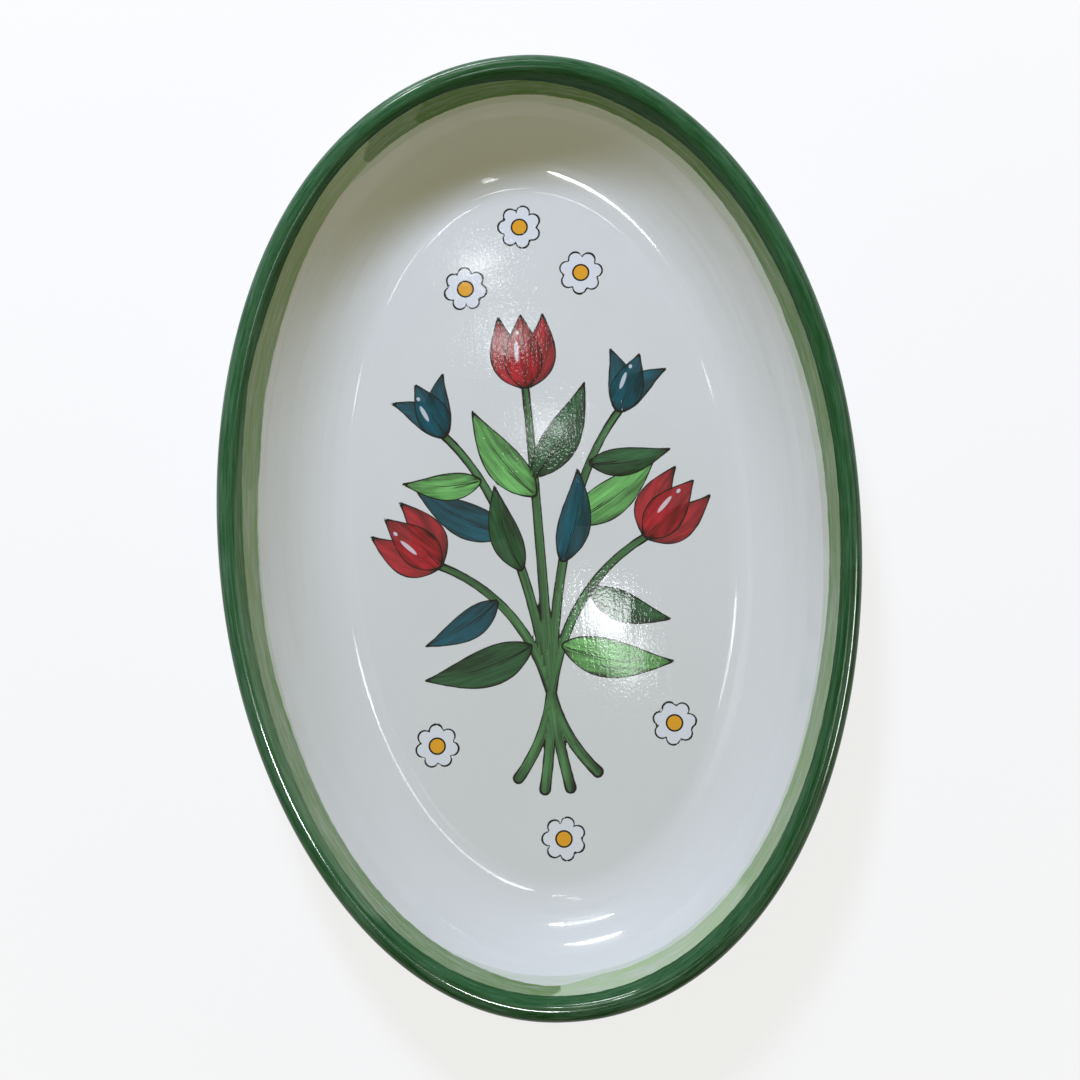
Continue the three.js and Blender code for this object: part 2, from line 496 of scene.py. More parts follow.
def brush_coat(degrees, depth, row, strokes):
    """Paint left by a row of overlapping strokes between two depths, from 0 to 1.

    A stroke begins with a crisp rounded end, thins along its way and fades out where the next begins.
    The fuller stroke shows where two overlap.
    """
    across = np.clip((depth - row[0]) / (row[1] - row[0]), 0.0, 1.0)
    round_end = STROKE_ROUNDING * (2 * across - 1) ** 2
    coat = np.zeros(np.broadcast(degrees, across).shape)
    for start, end, load in strokes:
        length = end - start
        along = (degrees - start + STROKE_LEAD) % 360.0 - STROKE_LEAD - round_end
        begun = smooth_step(along, 0.0, STROKE_START)
        faded = smooth_step(along, length, length + STROKE_FADE)
        thinning = 1 - STROKE_THINNING * np.clip(along / length, 0.0, 1.0)
        coat = np.maximum(coat, begun * (1 - faded) * load * thinning)
    return coat


def round_rim(degrees, stations):
    """Values all round the rim: straight between the stations, then averaged over a few degrees."""
    places, values = zip(*stations)
    shifts = STATION_ROUNDING * np.linspace(-0.5, 0.5, 7)
    return np.mean([np.interp(degrees + shift, places, values, period=360.0) for shift in shifts], axis=0)


def add_bands(mesh, section, rows):
    """Stores, for the rim and the wall, where a point lies in the bands and how much paint is there."""
    angle = section.angles()
    depth = np.repeat(section.depth[rows][:, None], COLUMNS, axis=1)
    degrees = np.degrees(angle)
    dark_edge, sage_edge, wash_edge, skirt_edge = (
        depth - round_rim(degrees, stations)
        for stations in (DARK_EDGE, SAGE_EDGE, WASH_EDGE, SKIRT_EDGE))
    lip_coat = brush_coat(degrees, depth, LIP_ROW, LIP_STROKES)
    skirt_coat = brush_coat(degrees, depth, SKIRT_ROW, SKIRT_STROKES)
    dark_coat = lip_coat + smooth_step(skirt_edge, -0.5, 0.5) * (skirt_coat - lip_coat)
    sage_coat = brush_coat(degrees, depth, SAGE_ROW, SAGE_STROKES)
    off_line = np.abs(depth - round_rim(degrees, GLOSS_LINE))
    gloss = round_rim(degrees, LIP_GLOSS) * (1 - smooth_step(off_line, *GLOSS_STRIPE))
    around = np.stack(np.broadcast_arrays(np.sin(angle), np.cos(angle), depth), axis=-1)
    add_values(mesh, "around", "FLOAT_VECTOR", around)
    add_values(mesh, "band_edges", "FLOAT_VECTOR", np.stack([dark_edge, sage_edge, wash_edge], axis=-1))
    add_values(mesh, "band_coats", "FLOAT_VECTOR", np.stack([dark_coat, sage_coat, gloss], axis=-1))


# The painted bouquet

class Layer:
    """One layer of the painting: for every point of the floor, the nearest shape of the layer.

    edge is the distance to that shape's outline in millimetres, negative inside. local is the share along
    the shape, the distance across it and a number of its own, and tint is its colour.
    """

    def __init__(self, x, y):
        self.x = x
        self.y = y
        self.edge = np.full(x.shape, FAR_OFF)
        self.local = np.zeros(x.shape + (3,))
        self.tint = np.ones(x.shape + (4,))
        self.shapes = 0

    def add(self, edge, along, across, tint):
        nearer = edge < self.edge
        self.shapes += 1
        self.edge = np.where(nearer, edge, self.edge)
        local = np.stack(np.broadcast_arrays(along, across, float(self.shapes)), axis=-1)
        self.local[nearer] = local[nearer]
        self.tint[nearer, :3] = tint

    def store(self, mesh, name, points):
        """Stores the layer on the mesh. Points that aren't on the floor's upper face stay unpainted."""
        spare = points - len(self.x)
        edge = np.concatenate([self.edge, np.full(spare, FAR_OFF)])
        local = np.concatenate([self.local, np.zeros((spare, 3))])
        tint = np.concatenate([self.tint, np.ones((spare, 4))])
        add_values(mesh, name + "_edge", "FLOAT", edge)
        add_values(mesh, name + "_local", "FLOAT_VECTOR", local)
        add_values(mesh, name + "_tint", "FLOAT_COLOR", tint)


def add_blade(layer, base, heading, length, half_width, bend, tint):
    """A pointed leaf or petal: its half width is the sine of pi * share ** BLADE_POWER along it."""
    sine, cosine = math.sin(math.radians(heading)), math.cos(math.radians(heading))
    x, y = layer.x - base[0], layer.y - base[1]
    along = (x * sine + y * cosine) / length
    inside = np.clip(along, 1e-4, 1 - 1e-4)
    across = x * cosine - y * sine - 4 * bend * inside * (1 - inside)
    swell = math.pi * inside ** BLADE_POWER
    lean = half_width * np.cos(swell) * math.pi * BLADE_POWER * inside ** (BLADE_POWER - 1) / length
    lean = np.clip(lean, -BLADE_STEEPEST, BLADE_STEEPEST)
    edge = (np.abs(across) - half_width * np.sin(swell)) / np.sqrt(1 + lean ** 2)
    beyond = np.clip(np.abs(along - 0.5) - 0.5, 0.0, None) * length
    edge = np.where(beyond > 0, np.hypot(np.clip(edge, 0.0, None), beyond), edge)
    layer.add(edge, along, across, tint)


def add_stroke(layer, path, start_width, end_width, tint):
    """A stem: the distance to a path of short straight pieces, less half of an evenly changing width."""
    first, last = path[:-1], path[1:]
    run = last - first
    x = layer.x[:, None] - first[:, 0]
    y = layer.y[:, None] - first[:, 1]
    share = np.clip((x * run[:, 0] + y * run[:, 1]) / (run ** 2).sum(axis=1), 0.0, 1.0)
    gap_x, gap_y = x - share * run[:, 0], y - share * run[:, 1]
    piece = np.argmin(gap_x ** 2 + gap_y ** 2, axis=1)
    row = np.arange(len(piece))
    side = np.sign(run[piece, 0] * gap_y[row, piece] - run[piece, 1] * gap_x[row, piece])
    across = side * np.hypot(gap_x[row, piece], gap_y[row, piece])
    along = (piece + share[row, piece]) / len(run)
    edge = np.abs(across) - (start_width + (end_width - start_width) * along) / 2
    layer.add(edge, along, across, tint)


def add_daisy(layer, centre, tint):
    """A small daisy: a circle drawn in between its petals. It stores places from its own centre."""
    x, y = layer.x - centre[0], layer.y - centre[1]
    radius = np.hypot(x, y)
    angle = np.arctan2(x, y) + DAISY_TURN * layer.shapes
    petal = np.abs(np.cos(DAISY_PETALS / 2 * angle)) ** 0.5
    layer.add(radius - DAISY_RADIUS * (1 - DAISY_NOTCH * (1 - petal)), x, y, tint)


def paint_bouquet(x, y, colours):
    """Lays the stems, leaves, blooms and daisies on the floor, and returns the layers by name."""
    layers = {name: Layer(x, y) for name in PAINT_LAYERS}
    leaf_tints = {"dark": colours.leaf_dark, "light": colours.leaf_light, "teal": colours.leaf_teal}
    bloom_tints = {"tulip": colours.petal_red, "bell": colours.leaf_teal}
    waist = np.array(BOUQUET_WAIST)

    def add_leaf(base, heading, length, tint, layer):
        bend = LEAF_BEND * length * (1 if heading > 0 else -1)
        add_blade(layers[layer], base, heading, length, LEAF_SLENDERNESS * length, bend, leaf_tints[tint])

    def add_stem(corner, end, widths, steps):
        path = np.concatenate([bezier(waist, corner, end, steps), end[None]])
        add_stroke(layers["stem"], path, *widths, colours.stem)
        return path

    for tip, heading, kind, leaves in STEMS:
        tip = np.array(tip, float)
        path = add_stem(waist + (tip - waist) * STEM_CORNER, tip, STEM_WIDTHS, STEM_STEPS)
        for share, leaf_heading, length, tint, layer in leaves:
            add_leaf(path[round(share * STEM_STEPS)], leaf_heading, length, tint, layer)
        for layer, turn, length, half_width, bend in BLOOMS[kind]:
            add_blade(layers[layer], tip, heading + turn, length, half_width, bend, bloom_tints[kind])
    for spread in CUT_ENDS:
        foot = waist + (spread, CUT_END_LIFT * abs(spread) - CUT_END_DROP)
        corner = waist + np.array((spread, -CUT_END_DROP)) * CUT_END_CORNER
        add_stem(corner, foot, CUT_END_WIDTHS, CUT_END_STEPS)
    for centre in DAISIES:
        add_daisy(layers["daisy"], centre, colours.petal_white)
    return layers


# Finishes

class Socket:
    """An output in a finish's node tree. Arithmetic on it adds Math nodes to the tree."""

    def __init__(self, finish, output):
        self.finish = finish
        self.output = output

    def __add__(self, other):
        return self.finish.math("ADD", self, other)

    def __sub__(self, other):
        return self.finish.math("SUBTRACT", self, other)

    def __rsub__(self, other):
        return self.finish.math("SUBTRACT", other, self)

    def __mul__(self, other):
        return self.finish.math("MULTIPLY", self, other)

    def __truediv__(self, other):
        return self.finish.math("DIVIDE", self, other)

    def __abs__(self):
        return self.finish.math("ABSOLUTE", self)

    def other(self, name):
        """Another output of the same node."""
        return Socket(self.finish, self.output.node.outputs[name])

    __radd__ = __add__
    __rmul__ = __mul__


class Finish:
    """A material or world under construction. Every node comes from its node method."""

    def __init__(self, owner):
        owner.use_nodes = True
        self.owner = owner
        self.tree = owner.node_tree
        self.tree.nodes.clear()

    def node(self, kind, settings=None, inputs=None, output=0):
        """Adds a node, makes its settings, then fills or links its sockets, and returns one output."""
        node = self.tree.nodes.new(kind)
        for name, value in (settings or {}).items():
            setattr(node, name, value)
        for name, value in (inputs or {}).items():
            if isinstance(value, Socket):
                self.tree.links.new(value.output, node.inputs[name])
            elif hasattr(value, "__len__") and node.inputs[name].type == "RGBA":
                node.inputs[name].default_value = (*value[:3], 1.0)
            else:
                node.inputs[name].default_value = value
        return Socket(self, node.outputs[output]) if node.outputs else None

    def math(self, operation, *values):
        return self.node("ShaderNodeMath", {"operation": operation}, dict(enumerate(values)))

    def step(self, value, low, high):
        """0 below low, 1 above high and smooth between. Low above high turns it round."""
        return self.node("ShaderNodeMapRange", {"interpolation_type": "SMOOTHSTEP"},
                         {"Value": value, "From Min": low, "From Max": high})

    def mix(self, share, first, second):
        return self.node("ShaderNodeMix", {"data_type": "RGBA"}, {0: share, 6: first, 7: second}, 2)

    def shade(self, colour, factor):
        """A colour made lighter or darker."""
        return self.node("ShaderNodeVectorMath", {"operation": "SCALE"}, {0: colour, "Scale": factor})

    def place(self):
        """The point in the frame, in metres."""
        return self.node("ShaderNodeTexCoord", output="Object")

    def values(self, name, output="Vector"):
        """What the mesh stores under a name."""
        return self.node("ShaderNodeAttribute", {"attribute_name": name}, output=output)

    def split(self, vector):
        """The three parts of a vector."""
        parts = self.node("ShaderNodeSeparateXYZ", inputs={0: vector})
        return parts.other("X"), parts.other("Y"), parts.other("Z")

    def join(self, x, y, z):
        return self.node("ShaderNodeCombineXYZ", inputs={0: x, 1: y, 2: z})

    def noise(self, vector, scale, detail=2.0, roughness=0.5):
        return self.node("ShaderNodeTexNoise", inputs={
            "Vector": vector, "Scale": scale, "Detail": detail, "Roughness": roughness})

    def bump(self, height, strength, distance):
        return self.node("ShaderNodeBump", inputs={
            "Height": height, "Strength": strength, "Distance": distance})

    def surface(self, inputs):
        """Closes the material with a Principled shader."""
        shader = self.node("ShaderNodeBsdfPrincipled", inputs=inputs)
        self.node("ShaderNodeOutputMaterial", inputs={"Surface": shader})
        return self.owner


def specks(finish, scale, reach, chance, part):
    """Small specks: the middles of those Voronoi cells whose own number is above a chance."""
    cells = finish.node("ShaderNodeTexVoronoi", inputs={"Vector": finish.place(), "Scale": scale})
    number = finish.split(cells.other("Color"))[part]
    return finish.step(cells.other("Distance"), *reach) * finish.step(number, chance, chance + 0.02)


def glaze_colour(finish, colours):
    """Cream-white glaze: slow clouds where it pooled, and a few dark pinholes."""
    clouds = finish.noise(finish.place(), 16.0, 3.0)
    base = finish.shade(colours.glaze, 0.95 + 0.1 * clouds)
    pinholes = specks(finish, 46.0, (0.026, 0.012), 0.72, 0)
    return finish.mix(pinholes * 0.8, base, colours.pinhole)


def glaze_skin(finish):
    """Height of the glaze in millimetres: slow waves and a fine orange peel."""
    place = finish.place()
    return 0.01 * finish.noise(place, 130.0, 2.0) + 0.006 * finish.noise(place, 520.0, 2.0)


def banded_finish(name, colours):
    """The rim's and wall's finish: glaze, then a thin wash, a sage band and a dark band brushed on it."""
    finish = Finish(bpy.data.materials.new(name))
    sine, cosine, depth = finish.split(finish.values("around"))
    dark_edge, sage_edge, wash_edge = finish.split(finish.values("band_edges"))
    dark_coat, sage_coat, gloss = finish.split(finish.values("band_coats"))

    # Brush marks that run along the bands, and the waver of the hand at their edges
    streaks = finish.noise(finish.join(sine * 7.0, cosine * 7.0, depth * 0.9), 1.0, 4.0, 0.6)
    fine_streaks = finish.noise(finish.join(sine * 22.0, cosine * 22.0, depth * 2.6), 1.0, 3.0, 0.6)
    hand = finish.noise(finish.join(sine * 30.0, cosine * 30.0, 3.0), 1.0, 3.0) - 0.5
    bristles = 0.9 * streaks + 0.5 * fine_streaks - 0.7

    # The thin wash on the bare glaze, down the inside only
    colour = glaze_colour(finish, colours)
    inside = finish.step(depth, -1.0, 0.0)
    wash = finish.step(wash_edge + hand * 0.8, 0.25, -0.6) * inside * (0.24 + 0.5 * bristles)
    colour = finish.mix(wash, colour, colours.thin_sage)

    # The sage band, a little fuller along its edge
    sage = finish.step(sage_edge + hand * 1.0, 0.2, -0.25) * inside
    sage_pool = 0.05 * finish.step(sage_edge + hand * 1.0, -3.2, -0.4)
    sage_paint = finish.mix(finish.step(sage_coat, 0.15, 0.65), colours.thin_sage, colours.sage)
    sage_paint = finish.shade(sage_paint, 1.05 + 1.3 * bristles - 0.5 * sage_pool)
    colour = finish.mix(sage * (0.33 + 0.62 * sage_coat + 0.9 * bristles + sage_pool), colour, sage_paint)

    # The dark band over the crest of the lip, thinner where the brush held little paint
    outside = finish.step(depth + hand * 1.5, OUTSIDE_EDGE - 0.2, OUTSIDE_EDGE + 0.2)
    dark = finish.step(dark_edge + hand * 0.9, 0.18, -0.18) * outside
    dark_pool = 0.25 * finish.step(dark_edge + hand * 0.9, -1.6, -0.3)
    load = 0.12 + 0.75 * dark_coat + 1.5 * bristles + dark_pool
    dark_paint = finish.mix(load, colours.thin_green, colours.dark_green)
    thin = finish.step(dark_coat, 0.45, 0.1) * finish.step(depth, 1.0, 2.5)
    colour = finish.mix(dark * (0.97 + 0.25 * bristles - 0.3 * thin), colour, dark_paint)

    # Relief in millimetres, and the clear coat
    turning = finish.noise(finish.join(sine * 1.6, cosine * 1.6, depth * 0.3), 1.0, 2.0)
    height = glaze_skin(finish) + dark * (fine_streaks * 0.012) + turning * 0.16
    painted = finish.math("MAXIMUM", dark, sage)
    lip = finish.step(abs(depth - 0.5), 4.0, 1.5)
    coat = PAINT_COAT + lip * (GLAZE_COAT * gloss - PAINT_COAT)
    return finish.surface({
        "Base Color": colour,
        "Roughness": 0.2,
        "Specular IOR Level": 0.1,
        "Coat Weight": GLAZE_COAT + painted * (coat - GLAZE_COAT),
        "Coat Roughness": 0.05,
        "Normal": finish.bump(height, 1.0, MM),
    })


def painted_layer(finish, colour, name, colours):
    """Lays one layer of the bouquet over a colour: streaky fill, ink outline and its inner marks."""
    edge = finish.values(name + "_edge", "Fac")
    along, across, number = finish.split(finish.values(name + "_local"))
    wobble = finish.noise(finish.place(), 230.0, 2.0) - 0.5
    ends = finish.step(abs(along - 0.5), 0.36, 0.5)
    line = finish.step(abs(edge) - INK_HALF_WIDTH - wobble * 0.4 - ends * 0.14, 0.14, -0.14)
    if name == "daisy":
        return daisy_marks(finish, colour, colours, (along, across), edge, line)
    tint = finish.values(name + "_tint", "Color")
    streaks = finish.noise(finish.join(along * 2.4, across * 0.8, number * 7.3), 1.0, 4.0, 0.62)
    pools = finish.noise(finish.join(along * 3.0, across * 0.25, number * 3.1), 1.0, 1.0)
    inside = finish.step(edge + wobble * 0.6, 0.12, -0.12)
    within = finish.step(edge, -0.2, -0.6)
    pooled_edge = finish.step(edge, -2.2, -0.2) * 0.3
    dark_side = finish.step(across + 2.0 * pools, 0.0, 2.4) * 0.35
    fill = finish.shade(tint, 2.6 * streaks + 1.6 * pools - 0.75 - pooled_edge - dark_side - 0.3 * ends)
    colour = finish.mix(inside * 0.98, colour, fill)
    if name.startswith("leaf"):
        ribs = finish.math("MAXIMUM", inner_mark(finish, along, across - 0.35, wobble, 0.66),
                           inner_mark(finish, along, across + 2.2 * along - 0.2, wobble, 0.4))
        line = finish.math("MAXIMUM", line, ribs * within)
    if name == "petal":
        fold = inner_mark(finish, along, across - 1.6 * along, wobble, 0.3)
        line = finish.math("MAXIMUM", line, fold * within)
        bar = oval_mark(finish, along - 0.5, across + 2.5, 0.15, 0.85)
        dot = oval_mark(finish, along - 0.76, across + 1.7, 0.035, 0.7)
        gleam = finish.math("MAXIMUM", bar, dot) * within
        colour = finish.mix(gleam * 0.7, colour, colours.petal_white)
    return finish.mix(line, colour, colours.ink)


def inner_mark(finish, along, across, wobble, end):
    """A fine ink line up a leaf or petal: it begins at the foot, thins and ends at a share of the way."""
    thin = finish.step(abs(across) - 0.17 - 0.2 * wobble + along * 0.12, 0.13, -0.1)
    return thin * finish.step(along, end, end - 0.1) * finish.step(along, 0.02, 0.06)


def oval_mark(finish, along, across, half_length, half_width):
    """A soft oval gleam, with its half length as a share of the petal's length."""
    first = along / half_length
    second = across / half_width
    return finish.step(first * first + second * second, 1.1, 0.7)


def daisy_marks(finish, colour, colours, local, edge, line):
    """A daisy's white petals with their outline, and its yellow heart with an ink ring."""
    x, y = local
    radius = finish.math("SQRT", x * x + y * y)
    colour = finish.mix(finish.step(edge, 0.1, -0.1) * 0.6, colour, colours.petal_white)
    colour = finish.mix(line, colour, colours.ink)
    within = finish.step(edge, 0.0, -0.5)
    heart = finish.step(radius, DAISY_HEART + 0.1, DAISY_HEART - 0.1) * within
    colour = finish.mix(heart, colour, colours.heart)
    ring = finish.step(abs(radius - DAISY_HEART), 0.42, 0.26) * within
    return finish.mix(ring, colour, colours.ink)


def floor_finish(colours):
    """The floor's finish: glaze and the painted bouquet.

    Lengthwise brush strokes and a fine grain in the glaze break up its highlights.
    """
    finish = Finish(bpy.data.materials.new("painted floor glaze"))
    colour = glaze_colour(finish, colours)
    for name in PAINT_LAYERS:
        colour = painted_layer(finish, colour, name, colours)
    x, y, _ = finish.split(finish.place())
    strokes = 0.02 * finish.noise(finish.join(x * 620.0, y * 26.0, 0.0), 1.0, 3.0)
    grain = 0.024 * finish.noise(finish.place(), 900.0, 1.0)
    return finish.surface({
        "Base Color": colour,
        "Roughness": 0.04,
        "Specular IOR Level": 0.5,
        "Coat Weight": 0.4,
        "Coat Roughness": 0.06,
        "Normal": finish.bump(glaze_skin(finish) + strokes + grain, 1.0, MM),
    })


def clay_finish(colours):
    """Bare clay: a cloudy, grainy matt body with specks of darker grog."""
    finish = Finish(bpy.data.materials.new("bare clay"))
    place = finish.place()
    clouds = finish.noise(place, 40.0, 4.0)
    grains = finish.noise(place, 900.0, 2.0)
    colour = finish.shade(colours.clay, 0.75 + 0.3 * clouds + 0.2 * grains)
    grog = specks(finish, 420.0, (0.2, 0.12), 0.8, 1)
    colour = finish.mix(grog * 0.6, colour, colours.pinhole)
    return finish.surface({
        "Base Color": colour,
        "Roughness": 0.8 + 0.15 * clouds,
        "Normal": finish.bump(grains, 0.5, 0.0003),
    })


# Pieces

class TRAY_OT_floor(bpy.types.Operator):
    """Makes the painted floor slab"""

    bl_idname = "tray.floor"
    bl_label = "Floor"

    def execute(self, context):
        sizes, colours = context.scene.tray_sizes, context.scene.tray_colours
        section = Section(sizes)
        top, bottom, faces, map_places = self.slab(section, sizes)
        places = np.concatenate([top, bottom])
        normals = np.zeros_like(places)
        normals[:len(top)] = self.top_normals(top, section, sizes)
        normals[len(top):, 2] = -1.0
        mesh = new_mesh("tray_floor", places, faces, map_places, normals)
        layers = paint_bouquet(top[:, 0] / MM, top[:, 1] / MM, colours)
        for name, layer in layers.items():
            layer.store(mesh, name, len(places))
        add_piece("tray_floor", mesh, floor_finish(colours), "floor")
        return {"FINISHED"}

    @staticmethod
    def ripple(x, y, section, sizes):
        """Height of the turning marks: slow oval waves that die out at the floor's edge."""
        half_length = section.floor_edge + section.stretch
        share = np.hypot(x / section.floor_edge, y / half_length)
        turn = np.arctan2(x, y)
        waves = sum(height * np.sin(rise * share + twist * turn + phase)
                    for height, rise, twist, phase in FLOOR_RIPPLES)
        return sizes.ripple * waves * np.clip((1 - share) / FLOOR_RIPPLE_FADE, 0.0, 1.0)

    def top_normals(self, top, section, sizes):
        """Normals of the upper face, from the slope of its ripples."""
        x, y = top[:, 0], top[:, 1]
        reach = 0.5 * MM
        slope_x = self.ripple(x + reach, y, section, sizes) - self.ripple(x - reach, y, section, sizes)
        slope_y = self.ripple(x, y + reach, section, sizes) - self.ripple(x, y - reach, section, sizes)
        normal = np.stack([-slope_x, -slope_y, np.full_like(x, 2 * reach)], axis=-1)
        return normal / np.linalg.norm(normal, axis=-1, keepdims=True)

    def slab(self, section, sizes):
        """The slab's points and faces.

        A square grid (s, t) from -1 to 1 becomes a disc by s * sqrt(1 - t * t / 2) and
        t * sqrt(1 - s * s / 2), and the disc becomes the oval. The underside is one face below the grid's
        border.
        """
        wide, long = FLOOR_CELLS
        s, t = np.meshgrid(np.linspace(-1, 1, wide + 1), np.linspace(-1, 1, long + 1), indexing="ij")
        disc_x, disc_y = s * np.sqrt(1 - t * t / 2), t * np.sqrt(1 - s * s / 2)
        reach = np.hypot(disc_x, disc_y)
        turn = np.arctan2(disc_x, disc_y)
        x = section.floor_edge * reach * oval_share(np.sin(turn), section.fullness)
        y = (section.floor_edge + section.stretch) * reach * oval_share(np.cos(turn), section.fullness)
        z = section.floor_top + self.ripple(x, y, section, sizes)
        top = np.stack([x, y, z], axis=-1).reshape(-1, 3)
        index = np.arange(x.size).reshape(x.shape)
        quads = np.stack([index[:-1, :-1], index[1:, :-1], index[1:, 1:], index[:-1, 1:]], axis=-1)
        border = np.concatenate([index[:-1, 0], index[-1, :-1], index[:0:-1, -1], index[0, :0:-1]])
        bottom = top[border].copy()
        bottom[:, 2] = section.floor_bottom
        below = len(top) + np.arange(len(border))
        sides = np.stack([border, below, np.roll(below, -1), np.roll(border, -1)], axis=-1)
        faces = [*quads.reshape(-1, 4), *sides, below[::-1]]
        spread = np.array((0.5 / section.floor_edge, 0.5 / (section.floor_edge + section.stretch)))
        corners = np.concatenate(faces)
        places = np.concatenate([top, bottom])[corners, :2] * spread + 0.5
        upper, lower = places[:quads.size], places[quads.size:]
        map_places = np.concatenate([self.in_room(upper, UPPER_ROOM), self.in_room(lower, LOWER_ROOM)])
        return top, bottom, faces, map_places

    @staticmethod
    def in_room(places, room):
        """Places across and along the slab, from 0 to 1, moved into a room of its map."""
        (u, u_size), (v, v_size) = room
        return np.stack([u + u_size * places[:, 1], v + v_size * places[:, 0]], axis=-1)


def add_banded_ring(context, name, node):
    """Makes the wall or the rim from its rows of the skin, with the green bands on it."""
    section = Section(context.scene.tray_sizes)
    skin = section.skin()
    rows = section.rows[node]
    mesh = ring_mesh(name, skin[rows], section.skin_normals(skin)[rows])
    add_bands(mesh, section, rows)
    finish = banded_finish(f"banded {node} glaze", context.scene.tray_colours)
    add_piece(name, mesh, finish, node)


class TRAY_OT_wall(bpy.types.Operator):
    """Makes the flared wall with its cove"""

    bl_idname = "tray.wall"
    bl_label = "Wall"

    def execute(self, context):
        add_banded_ring(context, "tray_wall", "wall")
        return {"FINISHED"}


class TRAY_OT_rim(bpy.types.Operator):
    """Makes the rim with its round lip"""

    bl_idname = "tray.rim"
    bl_label = "Rim"

    def execute(self, context):
        add_banded_ring(context, "tray_rim", "rim")
        return {"FINISHED"}


class TRAY_OT_foot(bpy.types.Operator):
    """Makes the bare foot ring"""

    bl_idname = "tray.foot"
    bl_label = "Foot ring"

    def execute(self, context):
        sizes = context.scene.tray_sizes
        section = Section(sizes)
        outline = self.outline(sizes)
        angle = section.angles()
        x = outline[:, :1] * oval_share(np.sin(angle), section.fullness)
        y = (outline[:, :1] + section.stretch) * oval_share(np.cos(angle), section.fullness)
        grid = np.stack(np.broadcast_arrays(x, y, outline[:, 1:]), axis=-1)
        closed = np.concatenate([grid[-1:], grid, grid[:1]])
        normals = section.skin_normals(closed)[1:-1]
        mesh = ring_mesh("tray_foot_ring", grid, normals)
        finish = clay_finish(context.scene.tray_colours)
        add_piece("tray_foot_ring", mesh, finish, "foot_ring")
        return {"FINISHED"}

    @staticmethod
    def outline(sizes):
        """The ring's section: a rectangle whose two lower edges are rounded by quarter circles."""
        low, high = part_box("foot_ring")
        outside, top, bevel = high.x, high.z, sizes.foot_bevel
        inside = outside - sizes.foot_width
        turn = np.linspace(0.0, math.pi / 2, FOOT_EDGE_STEPS)[:, None]
        quarter = np.concatenate([np.sin(turn), -np.cos(turn)], axis=1)
        outer = np.array((outside - bevel, low.z + bevel)) + bevel * quarter
        inner = np.array((inside + bevel, low.z + bevel)) + bevel * quarter[::-1] * (-1.0, 1.0)
        sides = np.array(((outside, top), (inside, top)))
        flats = np.linspace(inner[-1], outer[0], FOOT_EDGE_STEPS)[1:-1]
        return np.concatenate([inner, flats, outer, sides])


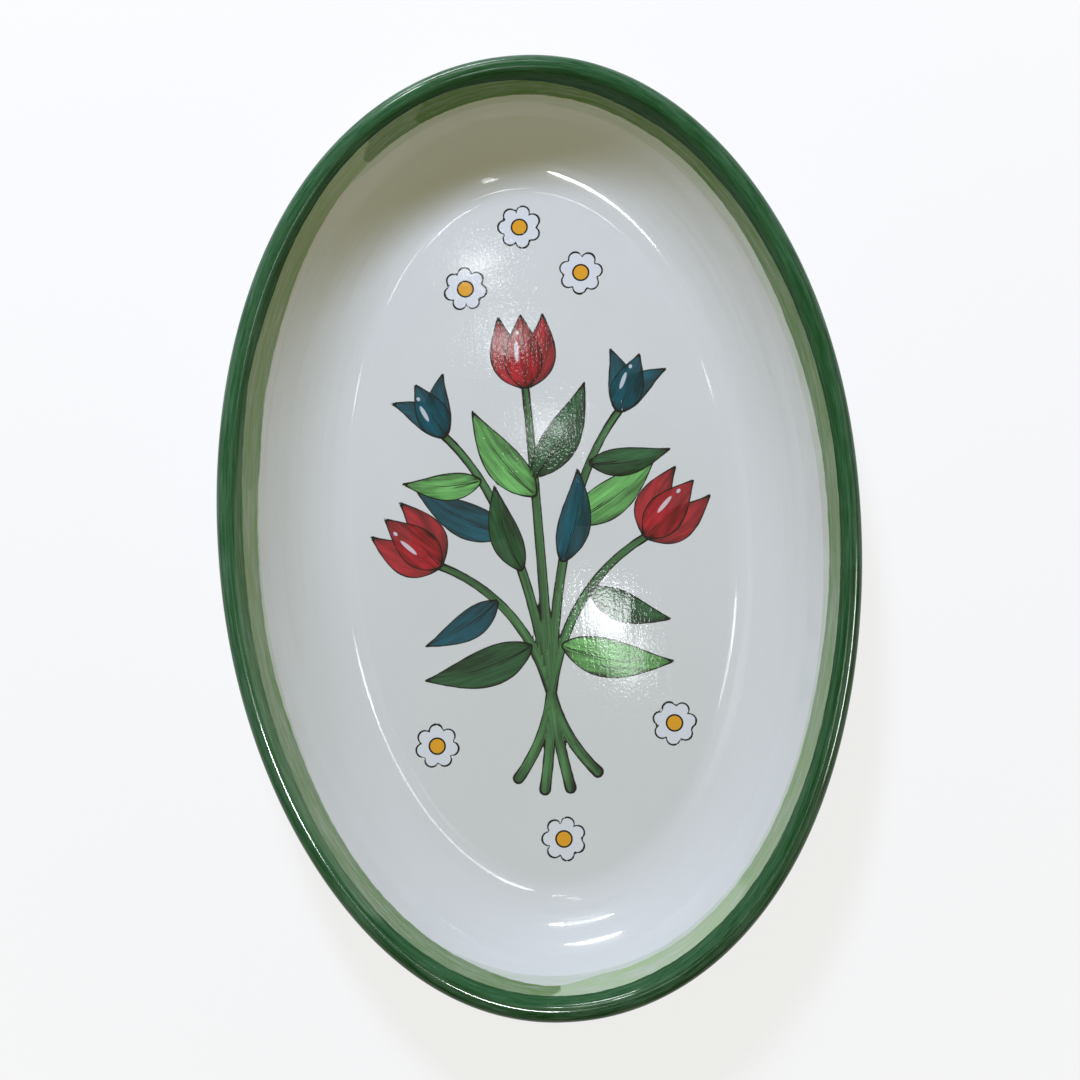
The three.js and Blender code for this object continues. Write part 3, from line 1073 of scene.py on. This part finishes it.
class TRAY_OT_studio(bpy.types.Operator):
    """Makes the pale floor, the soft light and the camera"""

    bl_idname = "tray.studio"
    bl_label = "Studio"

    def execute(self, context):
        studio = context.scene.tray_studio
        context.scene.view_settings.view_transform = "Standard"
        self.backdrop(studio)
        self.world(context.scene, studio)
        self.camera(context.scene)
        softbox = self.lamp("softbox", SOFTBOX_PLACE, SOFTBOX_SIZE, studio.key_power, studio.key_colour)
        softbox.visible_glossy = False
        for number, (place, size, power) in enumerate(FLASHES):
            self.glint(f"camera_flash_{number}", place, size, power * studio.flash_power)
        for number, place in enumerate(CEILING_SPOTS):
            self.glint(f"ceiling_spot_{number}", place, SPOT_SIZE, studio.spot_power)
        for number, (place, pieces) in enumerate(SIDE_TUBES):
            self.glint(f"side_tube_{number}", place, TUBE_SIZE, studio.tube_power, pieces)
        self.glint("lip_flash", LIP_FLASH_PLACE, LIP_FLASH_SIZE, studio.lip_power, ("tray_rim",))
        return {"FINISHED"}

    @staticmethod
    def backdrop(studio):
        """A wide pale floor. The camera and reflections see it nearer to white, with the shadow kept."""
        half = BACKDROP_HALF
        mesh = bpy.data.meshes.new("studio_floor")
        corners = [(-half, -half, 0.0), (half, -half, 0.0), (half, half, 0.0), (-half, half, 0.0)]
        mesh.from_pydata(corners, [], [(0, 1, 2, 3)])
        floor = bpy.data.objects.new("studio_floor", mesh)
        bpy.context.scene.collection.objects.link(floor)
        finish = Finish(bpy.data.materials.new("studio floor"))
        path = finish.node("ShaderNodeLightPath")
        seen = finish.math("MAXIMUM", path.other("Is Camera Ray"), path.other("Is Glossy Ray"))
        seen = finish.math("MAXIMUM", seen, path.other("Is Transmission Ray"))
        matt = finish.node("ShaderNodeBsdfDiffuse", inputs={"Color": studio.backdrop})
        white = finish.node("ShaderNodeEmission", inputs={"Color": (1.0, 1.0, 1.0), "Strength": 1.0})
        distance = finish.node(
            "ShaderNodeVectorMath", {"operation": "LENGTH"}, {0: finish.place()}, "Value")
        lift = BACKDROP_WHITE + (1 - BACKDROP_WHITE) * finish.step(distance, *BACKDROP_RISE)
        shader = finish.node("ShaderNodeMixShader", inputs={0: seen * lift, 1: matt, 2: white})
        finish.node("ShaderNodeOutputMaterial", inputs={"Surface": shader})
        mesh.materials.append(finish.owner)

    @staticmethod
    def world(scene, studio):
        """Even warm light. The camera sees plain white instead."""
        finish = Finish(bpy.data.worlds.new("studio"))
        ambient = finish.node("ShaderNodeBackground", inputs={
            "Color": studio.ambient, "Strength": studio.ambient_strength})
        white = finish.node("ShaderNodeBackground", inputs={"Color": (1.0, 1.0, 1.0), "Strength": 1.0})
        seen = finish.node("ShaderNodeLightPath", output="Is Camera Ray")
        shader = finish.node("ShaderNodeMixShader", inputs={0: seen, 1: ambient, 2: white})
        finish.node("ShaderNodeOutputWorld", inputs={"Surface": shader})
        scene.world = finish.owner

    @staticmethod
    def lamp(name, place, size, power, colour):
        """An oval lamp at a place in millimetres, turned to the tray."""
        data = bpy.data.lights.new(name, "AREA")
        data.shape = "ELLIPSE"
        data.size, data.size_y = size[0] * MM, size[1] * MM
        data.energy = power
        data.color = colour
        lamp = bpy.data.objects.new(name, data)
        bpy.context.scene.collection.objects.link(lamp)
        lamp.location = Vector(place) * MM
        lamp.rotation_euler = Vector(place).to_track_quat("Z", "Y").to_euler()
        lamp.visible_camera = False
        return lamp

    def glint(self, name, place, size, power, pieces=None):
        """A lamp that shows only as a reflection, and in the named pieces alone if any are named."""
        lamp = self.lamp(name, place, size, power, GLINT_COLOUR)
        lamp.visible_diffuse = False
        if pieces:
            shiny = bpy.data.collections.new(f"{name}_pieces")
            for piece in pieces:
                shiny.objects.link(bpy.data.objects[piece])
            lamp.light_linking.receiver_collection = shiny

    @staticmethod
    def camera(scene):
        """The camera of the photograph, almost straight above the tray."""
        data = bpy.data.cameras.new("camera")
        data.lens = CAMERA_LENS
        data.sensor_width = CAMERA_SENSOR
        camera = bpy.data.objects.new("camera", data)
        scene.collection.objects.link(camera)
        place = Vector(CAMERA_PLACE) * MM
        forward = (Vector(CAMERA_AIM) * MM - place).normalized()
        right = forward.cross(Vector((math.sin(CAMERA_ROLL), math.cos(CAMERA_ROLL), 0.0))).normalized()
        turn = Matrix((right, right.cross(forward), -forward)).transposed()
        camera.matrix_world = Matrix.Translation(place) @ turn.to_4x4()
        scene.camera = camera


class TRAY_PT_panel(bpy.types.Panel):
    """Lists the tray's pieces in the sidebar"""

    bl_idname = "TRAY_PT_panel"
    bl_label = "Oval tray"
    bl_space_type = "VIEW_3D"
    bl_region_type = "UI"
    bl_category = "Tray"

    def draw(self, context):
        for operator in OPERATORS:
            self.layout.operator(operator.bl_idname)
        for settings in (context.scene.tray_sizes, context.scene.tray_colours, context.scene.tray_studio):
            box = self.layout.box()
            for name in settings.__annotations__:
                box.prop(settings, name)


OPERATORS = (TRAY_OT_floor, TRAY_OT_wall, TRAY_OT_rim, TRAY_OT_foot, TRAY_OT_studio)
SETTINGS = {"tray_sizes": TraySizes, "tray_colours": TrayColours, "tray_studio": StudioSettings}
CLASSES = (*SETTINGS.values(), *OPERATORS, TRAY_PT_panel)


def register():
    for cls in CLASSES:
        bpy.utils.register_class(cls)
    for name, group in SETTINGS.items():
        setattr(bpy.types.Scene, name, bpy.props.PointerProperty(type=group))


def unregister():
    for name in SETTINGS:
        delattr(bpy.types.Scene, name)
    for cls in reversed(CLASSES):
        bpy.utils.unregister_class(cls)


def main():
    register()
    bpy.ops.tray.floor()
    bpy.ops.tray.wall()
    bpy.ops.tray.rim()
    bpy.ops.tray.foot()
    bpy.ops.tray.studio()


if __name__ == "__main__":
    main()
